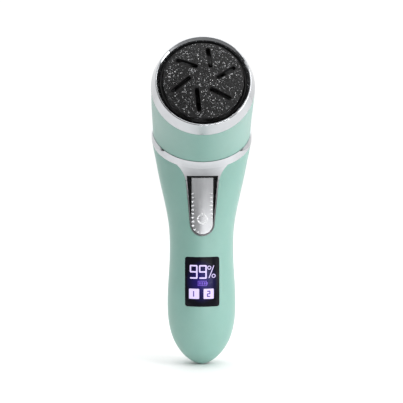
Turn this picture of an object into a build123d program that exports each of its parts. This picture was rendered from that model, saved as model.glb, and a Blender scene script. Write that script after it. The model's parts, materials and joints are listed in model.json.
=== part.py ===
from build123d import *
from functools import cache
from math import cos, hypot, pi, radians, sin
import os

# Battery powered callus remover: a handle that leans forward into a round head with a
# spinning abrasive disc.  Millimetres.  X is to the right, -Y is the front that the user
# faces, +Z is up the handle.  The origin is the charging port, at the handle's lower end.

os.makedirs("parts", exist_ok=True)

# ---------------------------------------------------------------- outside form
belly_height = 32.0
belly_half_width = 17.3
belly_half_depth = 15.5
foot_roundness = 2.6
foot_fullness = 0.62
foot_stations = 8
waist_height = 58.0
waist_half_width = 16.1
waist_half_depth = 14.8
waist_stations = 3
neck_stations = 5
head_stations = 4

# The seam is the slanted joint where the handle ends and the head begins.
seam_front = (-21.0, 105.1)
seam_lean = 52.0
seam_half_width = 24.5
seam_half_depth = 23.5

# The disc faces forward and up.  Depths in the head are measured from the ring's crest.
disc_lean = 25.0
crest_centre = (-35.5, 145.8)
ring_depth = 7.5
ring_radius = 25.3
crest_radius = 23.0
mouth_radius = 21.0
mouth_depth = 1.4

wall = 2.0
inner_gap = 0.15
parting_gap = 0.06
groove_width = 0.22
groove_depth = 0.45

# ---------------------------------------------------------------- trim and button
band_width = 3.6
trim_proud = 0.25
trim_wall = 3.0
spigot_wall = 0.85
spigot_length = 2.4
tongue_top = 98.4
tongue_top_half = 8.4
tongue_foot = 67.4
tongue_foot_radius = 6.1
tongue_shoulder = (17.2, 106.4)
tray_depth = 4.5
tray_floor = 0.8
tray_rim = 0.55
button_gap = 0.25
button_half_width = 5.3
button_length = 28.6
button_thickness = 2.4
pin_radius = 0.6
pin_inset = 1.3
rib_pitch = 2.0
rib_width = 0.9
rib_length = 1.3
rib_depth = 0.8
symbol_radius = 2.4
symbol_line = 0.55
symbol_depth = 0.25
symbol_rise = 8.6

# ---------------------------------------------------------------- display and electronics
window_width = 17.3
window_height = 25.1
window_centre = 44.2
window_corner = 1.3
window_thickness = 1.4
window_ledge = 0.8
board_thickness = 1.2
board_width = 18.6
board_bottom = 22.0
board_top = 99.0
board_face = -9.2
module_thickness = 2.6
cell_radius = 9.15
cell_length = 65.0
cell_bottom = 23.5
cell_centre = 3.3
socket_width = 8.94
socket_height = 3.16
socket_length = 7.3
socket_corner = 1.5
socket_wall = 0.3
socket_recess = 1.0
port_clearance = 0.25

# ---------------------------------------------------------------- head, front to back
disc_radius = 19.5
disc_apex = -4.2
disc_edge = -0.2
disc_plate = 1.3
slot_count = 6
slot_width = 2.2
slot_inner = 6.2
slot_outer = 16.7
slot_offset = 4.0
slot_turn = 36.4
hub_radius = 5.2
hub_back = 8.2
spindle_radius = 3.0
hex_flats = 5.0
hex_tip = 3.2
running_gap = 0.03
cup_front = 3.3
cup_radius = 21.2
cup_wall = 0.9
cup_floor_front = 12.4
cup_floor = 1.2
cup_flange_radius = 22.1
cup_flange = 1.0
boss_radius = 8.2
bush_radius = 6.0
bush_length = 4.0
seal_thickness = 0.6
filter_inner = 12.9
filter_outer = 19.0
filter_thickness = 1.5
air_holes = 12
air_hole_radius = 2.0
air_circle = 16.0

# ---------------------------------------------------------------- planet drive and motor
gear_module = 0.5
sun_teeth = 12
planet_teeth = 15
ring_teeth = sun_teeth + 2 * planet_teeth
planet_count = 3
gear_width = 4.0
carrier_plate = 1.4
carrier_margin = 2.0
planet_pin_radius = 0.9
gearbox_wall = 1.4
gear_cover_thickness = 1.2
axial_gap = 0.25
fan_radius = 16.2
fan_width = 3.4
fan_blades = 11
motor_radius = 9.8
motor_length = 18.0
motor_wall = 0.7
motor_cap = 1.4
shaft_radius = 1.0
mount_thickness = 1.6
mount_radius = 20.4
pillar_circle = 18.6
pillar_radius = 1.7
screw_radius = 0.8
screw_head_radius = 1.6
screw_head_height = 1.0
screw_length = 7.0

far = 200.0


# ---------------------------------------------------------------- helpers
def direction(lean):
    """Unit vector that points forward and up at this angle above the level."""
    return Vector(0, -cos(radians(lean)), sin(radians(lean)))


def across(lean, centre):
    """A plane across the body that faces forward and up at this angle."""
    return Plane(origin=(0, centre[0], centre[1]), x_dir=(1, 0, 0), z_dir=direction(lean))


disc_axis = direction(disc_lean)
crest_plane = across(disc_lean, crest_centre)


def head_plane(depth):
    """The plane at this depth behind the ring's crest, facing the front."""
    return crest_plane.offset(-depth)


def bezier(values, share):
    """The value at this share of the way along a cubic curve with four guide values."""
    rest = 1 - share
    weights = (rest**3, 3 * share * rest**2, 3 * share**2 * rest, share**3)
    return sum(weight * value for weight, value in zip(weights, values))


def save(part, name):
    """Give the finished piece its name and write its file."""
    part.label = name
    export_step(part, f"parts/{name}.step")


# ---------------------------------------------------------------- the form's stations
seam_rise = (sin(radians(seam_lean)), cos(radians(seam_lean)))
seam_back = (
    seam_front[0] + 2 * seam_half_depth * seam_rise[0],
    seam_front[1] + 2 * seam_half_depth * seam_rise[1],
)
seam_centre = ((seam_front[0] + seam_back[0]) / 2, (seam_front[1] + seam_back[1]) / 2)
seam_plane = across(seam_lean, seam_centre)
ring_origin = head_plane(ring_depth).origin
ring_rise = (sin(radians(disc_lean)), cos(radians(disc_lean)))
ring_front = (ring_origin.Y - ring_radius * ring_rise[0], ring_origin.Z - ring_radius * ring_rise[1])
ring_back = (ring_origin.Y + ring_radius * ring_rise[0], ring_origin.Z + ring_radius * ring_rise[1])
neck_pull = 0.4 * (seam_front[1] - waist_height)


def foot_line():
    """Stations of the rounded lower end, up to the belly."""
    for step in range(1, foot_stations + 1):
        height = belly_height * (step**2 - 1) / (foot_stations**2 - 1)
        share = (1 - (1 - (step / foot_stations) ** 2) ** foot_roundness) ** foot_fullness
        depth = belly_half_depth * share
        yield (-depth, height), (depth, height), belly_half_width * share


def waist_line():
    """Stations from above the belly to the waist."""
    for step in range(1, waist_stations + 1):
        share = step / waist_stations
        swell = (1 + cos(pi * share)) / 2
        height = belly_height + (waist_height - belly_height) * share
        depth = waist_half_depth + (belly_half_depth - waist_half_depth) * swell
        width = waist_half_width + (belly_half_width - waist_half_width) * swell
        yield (-depth, height), (depth, height), width


def curved_line(front, back, widths, count):
    """Stations along two cubic side outlines, with their half widths."""
    for step in range(1, count + 1):
        share = step / count
        ahead = tuple(bezier([point[axis] for point in front], share) for axis in (0, 1))
        behind = tuple(bezier([point[axis] for point in back], share) for axis in (0, 1))
        yield ahead, behind, bezier(widths, share)


neck_front = [
    (-waist_half_depth, waist_height),
    (-waist_half_depth, waist_height + neck_pull),
    (seam_front[0] + 4.2, seam_front[1] - 8.6),
    seam_front,
]
neck_back = [
    (waist_half_depth, waist_height),
    (waist_half_depth, waist_height + neck_pull),
    (seam_back[0] + 1.2, seam_back[1] - 22.0),
    seam_back,
]
neck_widths = [waist_half_width, waist_half_width - 1.5, seam_half_width + 1.2, seam_half_width]
head_front = [
    seam_front,
    (seam_front[0] - 4.8, seam_front[1] + 4.2),
    (ring_front[0] + 5.6, ring_front[1] - 4.5),
    ring_front,
]
head_back = [
    seam_back,
    (seam_back[0] - 0.6, seam_back[1] + 12.0),
    (ring_back[0] + 14.0, ring_back[1] - 3.0),
    ring_back,
]
head_widths = [seam_half_width, seam_half_width + 0.3, ring_radius + 0.3, ring_radius]

handle_stations = list(foot_line())
handle_stations += list(waist_line())
handle_stations += list(curved_line(neck_front, neck_back, neck_widths, neck_stations))
top_stations = handle_stations[-1:]
top_stations += list(curved_line(head_front, head_back, head_widths, head_stations))


def station_plane(ahead, behind, lift):
    """The plane across the body through these two points of its side outline."""
    rise = (behind[0] - ahead[0], behind[1] - ahead[1])
    middle = ((ahead[0] + behind[0]) / 2, (ahead[1] + behind[1]) / 2 + lift)
    return Plane(
        origin=(0, middle[0], middle[1]),
        x_dir=(1, 0, 0),
        z_dir=(0, -rise[1], rise[0]),
    )


@cache
def form(inset):
    """The outside form of the handle and head, taken in by this much all round."""
    with BuildPart() as body:
        for line in (handle_stations, top_stations):
            for ahead, behind, half_width in line:
                half_depth = hypot(behind[0] - ahead[0], behind[1] - ahead[1]) / 2
                lift = inset * max(0.0, 1 - ahead[1] / belly_height)
                narrowing = min(1.0, half_width / belly_half_width) if lift else 1.0
                with BuildSketch(station_plane(ahead, behind, lift)):
                    Ellipse(half_width - inset * narrowing, half_depth - inset * narrowing)
            loft()
    return body.part


@cache
def skin(outside, inside):
    """The layer of the form between these two insets."""
    with BuildPart() as layer:
        add(form(outside))
        add(form(inside), mode=Mode.SUBTRACT)
    return layer.part


def layer(outside, inside, region):
    """The part of this region that lies between these two insets of the form."""
    with BuildPart() as piece:
        add(form(outside))
        add(region, mode=Mode.INTERSECT)
        add(form(inside), mode=Mode.SUBTRACT)
    return piece.part


def slab(plane, low, high):
    """A wide block that lies between these two distances along the plane's facing."""
    with BuildPart() as block:
        with BuildSketch(plane.offset(low)):
            Rectangle(2 * far, 2 * far)
        extrude(amount=high - low)
    return block.part


shell_skin = skin(0, wall)
front_side = slab(Plane.XZ, parting_gap, far)
rear_side = slab(Plane.XZ, -far, -parting_gap)
below_trim = slab(seam_plane, -far * 2, -band_width - inner_gap)
above_trim = slab(seam_plane, inner_gap, far * 2)
behind_ring = slab(head_plane(ring_depth), -far * 2, -inner_gap)
groove_skin = skin(-1, groove_depth)


# ---------------------------------------------------------------- tongue outlines
def tongue_outline(margin):
    """A tongue that narrows to a round foot, grown by this margin."""
    foot = tongue_foot_radius + margin
    top_half = tongue_top_half + margin
    foot_centre = tongue_foot + tongue_foot_radius
    with BuildSketch(Plane.XZ) as outline:
        with Locations((0, foot_centre)):
            Circle(foot)
        with BuildLine():
            Polyline(
                (-foot, foot_centre),
                (-top_half, tongue_top + margin),
                (top_half, tongue_top + margin),
                (foot, foot_centre),
                close=True,
            )
        make_face()
    return outline.sketch


def button_outline(margin):
    """The button's straight sided outline, grown by this margin."""
    half = button_half_width + margin
    foot_centre = tongue_foot + tray_rim + button_gap + button_half_width
    top = foot_centre - button_half_width + button_length + margin
    with BuildSketch(Plane.XZ) as outline:
        with Locations((0, foot_centre)):
            Circle(half)
        with Locations((0, (foot_centre + top) / 2)):
            Rectangle(2 * half, top - foot_centre)
    return outline.sketch


def prism(outline, near, deep):
    """The outline carried through the front, between these two distances ahead of the axis."""
    with BuildPart() as block:
        add(outline.moved(Location((0, -near, 0))))
        extrude(amount=deep - near, dir=(0, -1, 0))
    return block.part


button_foot_centre = tongue_foot + tray_rim + button_gap + button_half_width
button_top = button_foot_centre - button_half_width + button_length
front_reach = 40.0
tongue_block = prism(tongue_outline(0), 4, front_reach)
tongue_opening = prism(tongue_outline(inner_gap), 4, front_reach)

with BuildPart() as shoulder_block:
    with BuildSketch(Plane.XZ.offset(4)):
        with BuildLine():
            Line((0, tongue_top - 8), (tongue_top_half - 0.4, tongue_top - 5))
            TangentArc(
                (tongue_top_half - 0.4, tongue_top - 5),
                tongue_shoulder,
                tangent=(0.08, 1),
            )
            Line(tongue_shoulder, (tongue_shoulder[0], tongue_shoulder[1] + 12))
            Line((tongue_shoulder[0], tongue_shoulder[1] + 12), (0, tongue_shoulder[1] + 12))
            Line((0, tongue_shoulder[1] + 12), (0, tongue_top - 8))
        make_face()
        mirror(about=Plane.YZ)
    extrude(amount=front_reach)

# ---------------------------------------------------------------- chrome neck trim
recess_outline = tongue_outline(-tray_rim)

with BuildPart() as recess_cut:
    add(prism(recess_outline, 4, front_reach))
    add(form(tray_depth - tray_floor), mode=Mode.SUBTRACT)

tray_block = layer(-trim_proud, tray_depth, tongue_block)
band_block = layer(-trim_proud, trim_wall, slab(seam_plane, -band_width, 0))
with BuildPart() as shoulder_region:
    add(shoulder_block.part)
    split(bisect_by=seam_plane, keep=Keep.BOTTOM)
shoulder_skin = layer(-trim_proud, wall, shoulder_region.part)
spigot_block = layer(
    wall + inner_gap,
    wall + inner_gap + spigot_wall,
    slab(seam_plane, -band_width - spigot_length, spigot_length),
)

pin_height = button_top - pin_inset


def front_face_at(height):
    """How far forward the form's front stands at this height."""
    probe = form(0) & Box(0.4, 2 * far, 0.4).moved(Location((0, -far, height)))
    return probe.bounding_box().min.Y


pin_y = front_face_at(pin_height) + 1.6
button_foot_y = front_face_at(button_foot_centre)

with BuildPart() as neck_trim:
    add(band_block)
    add(shoulder_skin)
    add(spigot_block)
    add(tray_block)
    add(recess_cut.part, mode=Mode.SUBTRACT)
    with BuildSketch(Plane.YZ.offset(-tongue_top_half)):
        with Locations((pin_y, pin_height)):
            Circle(pin_radius + 0.02)
    extrude(amount=2 * tongue_top_half, mode=Mode.SUBTRACT)
    with BuildSketch(Plane.XZ.offset(4)):
        with Locations((0, (button_foot_centre + pin_height) / 2)):
            Circle(2.0)
    extrude(amount=front_reach, mode=Mode.SUBTRACT)
save(neck_trim.part, "neck_trim")

# ---------------------------------------------------------------- power button
button_middle = (button_foot_centre + pin_height) / 2
with BuildPart() as power_button:
    add(layer(-trim_proud, button_thickness, prism(button_outline(0), 4, front_reach)))
    with BuildSketch(Plane.YZ.offset(-button_half_width)):
        with Locations((pin_y, pin_height)):
            Circle(pin_radius + running_gap)
    extrude(amount=2 * button_half_width, mode=Mode.SUBTRACT)
    # Grip ribs along both edges and round the lower end.
    rib_rows = int((pin_height - 6 - button_foot_centre) / rib_pitch)
    for row in range(rib_rows):
        for side in (-1, 1):
            height = button_foot_centre + rib_pitch * (row + 0.5)
            with BuildSketch(Plane.XZ.offset(-button_foot_y - rib_depth)):
                with Locations((side * (button_half_width - rib_length / 2 + 0.2), height)):
                    Rectangle(rib_length + 0.4, rib_width)
            extrude(amount=8, mode=Mode.SUBTRACT)
    end_ribs = 7
    for rib in range(end_ribs):
        turn = -180 + 180 * (rib + 0.5) / end_ribs
        with BuildSketch(Plane.XZ.offset(-button_foot_y - rib_depth)):
            with Locations((0, button_foot_centre)):
                with PolarLocations(button_half_width - rib_length / 2 + 0.2, 1, start_angle=turn):
                    Rectangle(rib_length + 0.4, rib_width)
        extrude(amount=8, mode=Mode.SUBTRACT)
    # Power sign: an open ring with an upright bar.
    with BuildSketch(Plane.XZ.offset(-button_foot_y - symbol_depth)):
        with Locations((0, tongue_foot + symbol_rise)):
            Circle(symbol_radius)
            Circle(symbol_radius - symbol_line, mode=Mode.SUBTRACT)
        with Locations((0, tongue_foot + symbol_rise + symbol_radius)):
            Rectangle(3 * symbol_line, symbol_radius, mode=Mode.SUBTRACT)
            Rectangle(symbol_line, 1.1 * symbol_radius)
    extrude(amount=8, mode=Mode.SUBTRACT)
save(power_button.part, "power_button")

with BuildPart() as button_pin:
    with BuildSketch(Plane.YZ.offset(-tongue_top_half + tray_rim + 0.9)):
        with Locations((pin_y, pin_height)):
            Circle(pin_radius)
    extrude(amount=2 * (tongue_top_half - tray_rim - 0.9))
save(button_pin.part, "button_pin")

# ---------------------------------------------------------------- display window
def window_outline(margin):
    """The display window's outline, grown by this margin."""
    with BuildSketch(Plane.XZ) as outline:
        with Locations((0, window_centre)):
            RectangleRounded(
                window_width + 2 * margin, window_height + 2 * margin, window_corner + max(margin, -1)
            )
    return outline.sketch


with BuildPart() as display_window:
    add(layer(0.05, window_thickness, prism(window_outline(-0.08), 4, front_reach)))
save(display_window.part, "display_window")

# ---------------------------------------------------------------- handle shells
boss_rows = ((9.6, 16.5), (13.2, 93.0))
boss_outer = 2.5
screw_seat = 6.0


def boss_places():
    """Places of the case screws, across and up."""
    for half, height in boss_rows:
        for side in (-1, 1):
            yield side * half, height


with BuildPart() as seat_ledge:
    add(layer(window_thickness + 0.05, wall, prism(window_outline(0), 4, front_reach)))
    add(prism(window_outline(-window_ledge), 4, front_reach), mode=Mode.SUBTRACT)

with BuildPart() as port_cut:
    with BuildSketch(Plane.XY.offset(-5)):
        RectangleRounded(
            socket_width + 2 * port_clearance,
            socket_height + 2 * port_clearance,
            socket_corner + port_clearance,
        )
    extrude(amount=12)

with BuildPart() as front_shell:
    add(shell_skin)
    add(below_trim, mode=Mode.INTERSECT)
    add(front_side, mode=Mode.INTERSECT)
    with BuildSketch(Plane.XZ.offset(parting_gap)):
        with Locations(*boss_places()):
            Circle(boss_outer)
    extrude(until=Until.NEXT)
    add(tongue_opening, mode=Mode.SUBTRACT)
    add(shoulder_block.part, mode=Mode.SUBTRACT)
    add(prism(window_outline(0), 4, front_reach), mode=Mode.SUBTRACT)
    add(seat_ledge.part)
    add(port_cut.part, mode=Mode.SUBTRACT)
    with BuildSketch(Plane.XZ.offset(parting_gap)):
        with Locations(*boss_places()):
            Circle(screw_radius)
    extrude(amount=screw_length, mode=Mode.SUBTRACT)
    add(slab(Plane.XZ, -1, parting_gap + groove_width) & groove_skin, mode=Mode.SUBTRACT)
save(front_shell.part, "front_shell")

with BuildPart() as rear_shell:
    add(shell_skin)
    add(below_trim, mode=Mode.INTERSECT)
    add(rear_side, mode=Mode.INTERSECT)
    with BuildSketch(Plane.XZ.offset(-parting_gap)):
        with Locations(*boss_places()):
            Circle(boss_outer)
    extrude(until=Until.NEXT, dir=(0, 1, 0))
    add(port_cut.part, mode=Mode.SUBTRACT)
    with BuildSketch(Plane.XZ.offset(-screw_seat)):
        with Locations(*boss_places()):
            Circle(screw_head_radius + 0.15)
    extrude(amount=-far / 2, mode=Mode.SUBTRACT)
    with BuildSketch(Plane.XZ.offset(parting_gap)):
        with Locations(*boss_places()):
            Circle(screw_radius + 0.1)
    extrude(amount=-far / 2, mode=Mode.SUBTRACT)
    add(slab(Plane.XZ, -parting_gap - groove_width, 1) & groove_skin, mode=Mode.SUBTRACT)
save(rear_shell.part, "rear_shell")

with BuildPart() as case_screws:
    with BuildSketch(Plane.XZ.offset(-screw_seat)):
        with Locations(*boss_places()):
            Circle(screw_head_radius)
    extrude(amount=-screw_head_height)
    with BuildSketch(Plane.XZ.offset(-screw_seat)):
        with Locations(*boss_places()):
            Circle(screw_radius)
    extrude(amount=screw_seat + screw_length - 1.5)
    with BuildSketch(Plane.XZ.offset(-screw_seat - screw_head_height)):
        with Locations(*boss_places()):
            Rectangle(1.8, 0.45)
            Rectangle(0.45, 1.8)
    extrude(amount=0.5, mode=Mode.SUBTRACT)
save(case_screws.part, "case_screws")

# ---------------------------------------------------------------- head casings
cover_rise = -4.0
cover_plane = Plane(
    origin=crest_plane.origin + crest_plane.y_dir * cover_rise,
    x_dir=(1, 0, 0),
    z_dir=crest_plane.y_dir,
)
ledge_depth = cup_floor_front + cup_floor + 0.1
ledge_thickness = 1.6
ledge_radius = 20.6

with BuildPart() as head_skin:
    add(shell_skin)
    add(above_trim, mode=Mode.INTERSECT)
    add(behind_ring, mode=Mode.INTERSECT)

with BuildPart() as cup_ledge:
    with BuildSketch(head_plane(ledge_depth)):
        Circle(far / 4)
        Circle(ledge_radius, mode=Mode.SUBTRACT)
    extrude(amount=-ledge_thickness)
    add(form(wall / 2), mode=Mode.INTERSECT)
    add(above_trim, mode=Mode.INTERSECT)

with BuildPart() as head_collar:
    add(head_skin.part)
    add(cup_ledge.part)
    add(slab(cover_plane, -far, -parting_gap), mode=Mode.INTERSECT)
save(head_collar.part, "head_collar")

vent_count = 7
vent_pitch = 3.4
vent_width = 1.5
vent_length = 24.0
vent_lean = 24.0
vent_plane = Plane(
    origin=(0, seam_back[0], seam_back[1] + 13.0),
    x_dir=(1, 0, 0),
    z_dir=(0, cos(radians(vent_lean)), sin(radians(vent_lean))),
)
with BuildPart() as rear_head_cover:
    add(head_skin.part)
    add(cup_ledge.part)
    add(slab(cover_plane, parting_gap, far), mode=Mode.INTERSECT)
    for row in range(vent_count):
        taper = 1 - 0.07 * abs(row - (vent_count - 1) / 2)
        with BuildSketch(vent_plane):
            with Locations((0, vent_pitch * (row - (vent_count - 1) / 2))):
                SlotOverall(vent_length * taper, vent_width)
        extrude(amount=9, both=True, mode=Mode.SUBTRACT)
save(rear_head_cover.part, "rear_head_cover")

# ---------------------------------------------------------------- chrome bezel ring
skirt_radius = ring_radius - wall - inner_gap - 0.2
skirt_end = 10.4
ring_bore = cup_radius + 0.15
with BuildPart() as bezel_ring:
    with BuildSketch(Plane.XZ):
        with BuildLine():
            outer = Line((ring_radius, -ring_depth), (crest_radius + 0.35, -0.35))
            crest = RadiusArc(outer @ 1, (crest_radius - 0.35, -0.1), -0.5)
            bevel = Line(crest @ 1, (mouth_radius + 0.2, -mouth_depth))
            Polyline(
                bevel @ 1,
                (mouth_radius, -mouth_depth - 0.4),
                (mouth_radius, -cup_front + 0.1),
                (ring_bore, -cup_front + 0.1),
                (ring_bore, -skirt_end),
                (skirt_radius, -skirt_end),
                (skirt_radius, -ring_depth),
                outer @ 0,
            )
        make_face()
    revolve(axis=Axis.Z)
bezel_ring.part = bezel_ring.part.moved(crest_plane.location)
save(bezel_ring.part, "bezel_ring")

with BuildPart() as collar_seal:
    with BuildSketch(head_plane(skirt_end + 0.02)):
        Circle(skirt_radius)
        Circle(ring_bore + 0.15, mode=Mode.SUBTRACT)
    extrude(amount=-(cup_floor_front - cup_flange - skirt_end) + 0.04)
save(collar_seal.part, "collar_seal")


# ---------------------------------------------------------------- dust cup and filter
floor_back = cup_floor_front + cup_floor
boss_front = floor_back - bush_length - seal_thickness - 0.2
mount_front = 26.0
air_turns = [90 + place * 360 / air_holes for place in range(air_holes) if place % 4]

with BuildPart() as dust_cup:
    with BuildSketch(head_plane(floor_back)):
        Circle(cup_radius)
    extrude(amount=floor_back - cup_front)
    with BuildSketch(head_plane(cup_floor_front)):
        Circle(cup_radius - cup_wall)
    extrude(amount=cup_floor_front, mode=Mode.SUBTRACT)
    with BuildSketch(head_plane(floor_back)):
        Circle(cup_flange_radius)
    extrude(amount=cup_floor + cup_flange)
    with BuildSketch(head_plane(cup_floor_front)):
        Circle(cup_radius - cup_wall)
    extrude(amount=cup_floor_front, mode=Mode.SUBTRACT)
    with BuildSketch(head_plane(floor_back)):
        Circle(boss_radius)
    extrude(amount=floor_back - boss_front)
    with BuildSketch(head_plane(floor_back)):
        Circle(bush_radius)
    extrude(amount=bush_length + seal_thickness, mode=Mode.SUBTRACT)
    with BuildSketch(head_plane(floor_back)):
        Circle(bush_radius - 1)
    extrude(amount=floor_back, mode=Mode.SUBTRACT)
    for turn in air_turns:
        with BuildSketch(head_plane(floor_back)):
            with PolarLocations(air_circle, 1, start_angle=turn):
                Circle(air_hole_radius)
        extrude(amount=cup_floor, mode=Mode.SUBTRACT)
    with BuildSketch(head_plane(floor_back)):
        with PolarLocations(pillar_circle, planet_count, start_angle=30):
            Circle(pillar_radius)
    extrude(amount=-(mount_front - floor_back))
    with BuildSketch(head_plane(mount_front)):
        with PolarLocations(pillar_circle, planet_count, start_angle=30):
            Circle(screw_radius)
    extrude(amount=screw_length - mount_thickness, mode=Mode.SUBTRACT)
save(dust_cup.part, "dust_cup")

with BuildPart() as spindle_bush:
    with BuildSketch(head_plane(floor_back)):
        Circle(bush_radius)
        Circle(spindle_radius + running_gap, mode=Mode.SUBTRACT)
    extrude(amount=bush_length)
save(spindle_bush.part, "spindle_bush")

with BuildPart() as spindle_seal:
    with BuildSketch(head_plane(floor_back - bush_length)):
        Circle(bush_radius)
        Circle(spindle_radius + 0.1, mode=Mode.SUBTRACT)
    extrude(amount=seal_thickness)
save(spindle_seal.part, "spindle_seal")

filter_back = cup_floor_front
mesh_thickness = 0.4
mesh_margin = 0.9
with BuildPart() as filter_frame:
    with BuildSketch(head_plane(filter_back)):
        Circle(filter_outer)
        Circle(filter_inner, mode=Mode.SUBTRACT)
    extrude(amount=filter_thickness)
    with BuildSketch(head_plane(filter_back)):
        Circle(filter_outer - mesh_margin)
        Circle(filter_inner + mesh_margin, mode=Mode.SUBTRACT)
    extrude(amount=filter_thickness, mode=Mode.SUBTRACT)
    with BuildSketch(head_plane(filter_back)):
        with PolarLocations((filter_inner + filter_outer) / 2, 6, start_angle=30):
            Rectangle(filter_outer - filter_inner - mesh_margin, 0.8)
    extrude(amount=filter_thickness / 2)
save(filter_frame.part, "filter_frame")

with BuildPart() as filter_mesh:
    with BuildSketch(head_plane(filter_back - filter_thickness / 2)):
        Circle(filter_outer - mesh_margin)
        Circle(filter_inner + mesh_margin, mode=Mode.SUBTRACT)
    extrude(amount=mesh_thickness)
save(filter_mesh.part, "filter_mesh")

# ---------------------------------------------------------------- abrasive disc
dome_rise = disc_edge - disc_apex
dome_radius = (disc_radius**2 + dome_rise**2) / (2 * dome_rise)
backing_thickness = 1.5


def dome_layer(top, thickness, radius):
    """A round domed layer whose apex lies at this depth behind the crest."""
    with BuildPart() as layer:
        with BuildSketch(Plane.XZ):
            with BuildLine():
                rim = -top - dome_rise
                ThreePointArc(
                    (0, -top),
                    (radius / 2, -top - dome_radius + (dome_radius**2 - radius**2 / 4) ** 0.5),
                    (radius, -top - dome_radius + (dome_radius**2 - radius**2) ** 0.5),
                )
                edge = -top - dome_radius + (dome_radius**2 - radius**2) ** 0.5
                Line((radius, edge), (radius, edge - thickness))
                ThreePointArc(
                    (radius, edge - thickness),
                    (radius / 2, -top - thickness - dome_radius + (dome_radius**2 - radius**2 / 4) ** 0.5),
                    (0, -top - thickness),
                )
                Line((0, -top - thickness), (0, -top))
            make_face()
        revolve(axis=Axis.Z)
    return layer.part.moved(crest_plane.location)


with BuildPart() as slot_cut:
    for slot in range(slot_count):
        turn = radians(slot_turn + slot * 360 / slot_count)
        along = ((slot_inner**2 - slot_offset**2) ** 0.5 + (slot_outer**2 - slot_offset**2) ** 0.5) / 2
        length = (slot_outer**2 - slot_offset**2) ** 0.5 - (slot_inner**2 - slot_offset**2) ** 0.5
        place = (
            along * cos(turn) + slot_offset * sin(turn),
            along * sin(turn) - slot_offset * cos(turn),
        )
        with BuildSketch(head_plane(hub_back)):
            with Locations(place):
                SlotOverall(length, slot_width, rotation=slot_turn + slot * 360 / slot_count)
        extrude(amount=hub_back + 6)

with BuildPart() as abrasive_disc:
    add(dome_layer(disc_apex, disc_plate, disc_radius))
    add(slot_cut.part, mode=Mode.SUBTRACT)
save(abrasive_disc.part, "abrasive_disc")

with BuildPart() as disc_hub:
    add(dome_layer(disc_apex + disc_plate, backing_thickness, disc_radius - 0.8))
    with BuildSketch(head_plane(hub_back)):
        Circle(hub_radius)
    extrude(amount=hub_back - disc_apex - disc_plate - 1)
    with BuildSketch(head_plane(hub_back)):
        RegularPolygon(hex_flats / 2 + 0.05, 6, major_radius=False)
    extrude(amount=hub_back - hex_tip + 0.3, mode=Mode.SUBTRACT)
    for side in (0, 180):
        with BuildSketch(head_plane(hub_back - 1.4)):
            with PolarLocations(hub_radius + 0.4, 1, start_angle=side):
                Rectangle(1.4, 2.6)
        extrude(amount=1.4)
    add(slot_cut.part, mode=Mode.SUBTRACT)
save(disc_hub.part, "disc_hub")


# ---------------------------------------------------------------- planet drive
def gear_profile(teeth, grow=0.0):
    """Draw a spur gear in the open sketch, its teeth grown by this much."""
    pitch = gear_module * teeth / 2
    tip = pitch + 0.9 * gear_module + grow
    root = pitch - 1.15 * gear_module + grow
    root_half = 0.72 * gear_module + grow
    tip_half = 0.26 * gear_module + grow
    Circle(root)
    with PolarLocations(0, teeth):
        Polygon(
            (root - 0.1, -root_half),
            (tip, -tip_half),
            (tip, tip_half),
            (root - 0.1, root_half),
            align=None,
        )


carrier_front = floor_back + 0.2
planet_front = carrier_front + carrier_plate + 0.2
planet_back = planet_front + gear_width
gearbox_back = planet_back + axial_gap
ring_grow = 0.12
centre_distance = gear_module * (sun_teeth + planet_teeth) / 2
ring_pitch = gear_module * ring_teeth / 2
gearbox_radius = ring_pitch + 1.3 * gear_module + gearbox_wall - 0.3
carrier_radius = centre_distance + carrier_margin
carrier_turns = [90 + place * 360 / planet_count for place in range(planet_count)]


def planet_plane(turn, depth):
    """The plane of one planet gear, at this turn round the disc axis."""
    centre = head_plane(depth)
    shift = centre.x_dir * cos(radians(turn)) + centre.y_dir * sin(radians(turn))
    return Plane(
        origin=centre.origin + shift * centre_distance,
        x_dir=shift,
        z_dir=centre.z_dir,
    )


with BuildPart() as drive_spindle:
    with BuildSketch(head_plane(carrier_front + carrier_plate)):
        Circle(carrier_radius)
    extrude(amount=carrier_plate)
    with BuildSketch(head_plane(carrier_front)):
        Circle(spindle_radius)
    extrude(amount=carrier_front - hub_back - 0.3)
    with BuildSketch(head_plane(hub_back + 0.3)):
        RegularPolygon(hex_flats / 2, 6, major_radius=False)
    extrude(amount=hub_back + 0.3 - hex_tip)
    for turn in carrier_turns:
        with BuildSketch(planet_plane(turn, planet_back)):
            Circle(planet_pin_radius)
        extrude(amount=planet_back - carrier_front - carrier_plate / 2)
save(drive_spindle.part, "drive_spindle")

for number, turn in enumerate(carrier_turns, start=1):
    with BuildPart() as planet_gear:
        with BuildSketch(planet_plane(turn, planet_back)):
            gear_profile(planet_teeth)
        extrude(amount=gear_width)
        with BuildSketch(planet_plane(turn, planet_back)):
            Circle(planet_pin_radius + running_gap)
        extrude(amount=gear_width, mode=Mode.SUBTRACT)
    save(planet_gear.part, f"planet_gear_{number}")



def turned_plane(depth, turn):
    """The head plane at this depth, its X direction turned round the disc axis."""
    level = head_plane(depth)
    turned = level.x_dir * cos(radians(turn)) + level.y_dir * sin(radians(turn))
    return Plane(origin=level.origin, x_dir=turned, z_dir=level.z_dir)


with BuildPart() as sun_gear:
    with BuildSketch(turned_plane(planet_back, carrier_turns[0])):
        gear_profile(sun_teeth)
        Circle(shaft_radius, mode=Mode.SUBTRACT)
    extrude(amount=gear_width)
save(sun_gear.part, "sun_gear")

with BuildPart() as ring_gear:
    with BuildSketch(head_plane(gearbox_back)):
        Circle(gearbox_radius)
        with PolarLocations(gearbox_radius + 1.4, planet_count, start_angle=90):
            Circle(screw_radius + 1.3)
    extrude(amount=gearbox_back - floor_back)
    with BuildSketch(turned_plane(gearbox_back, carrier_turns[0])):
        gear_profile(ring_teeth, ring_grow)
    extrude(amount=gearbox_back - floor_back, mode=Mode.SUBTRACT)
save(ring_gear.part, "ring_gear")

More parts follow.
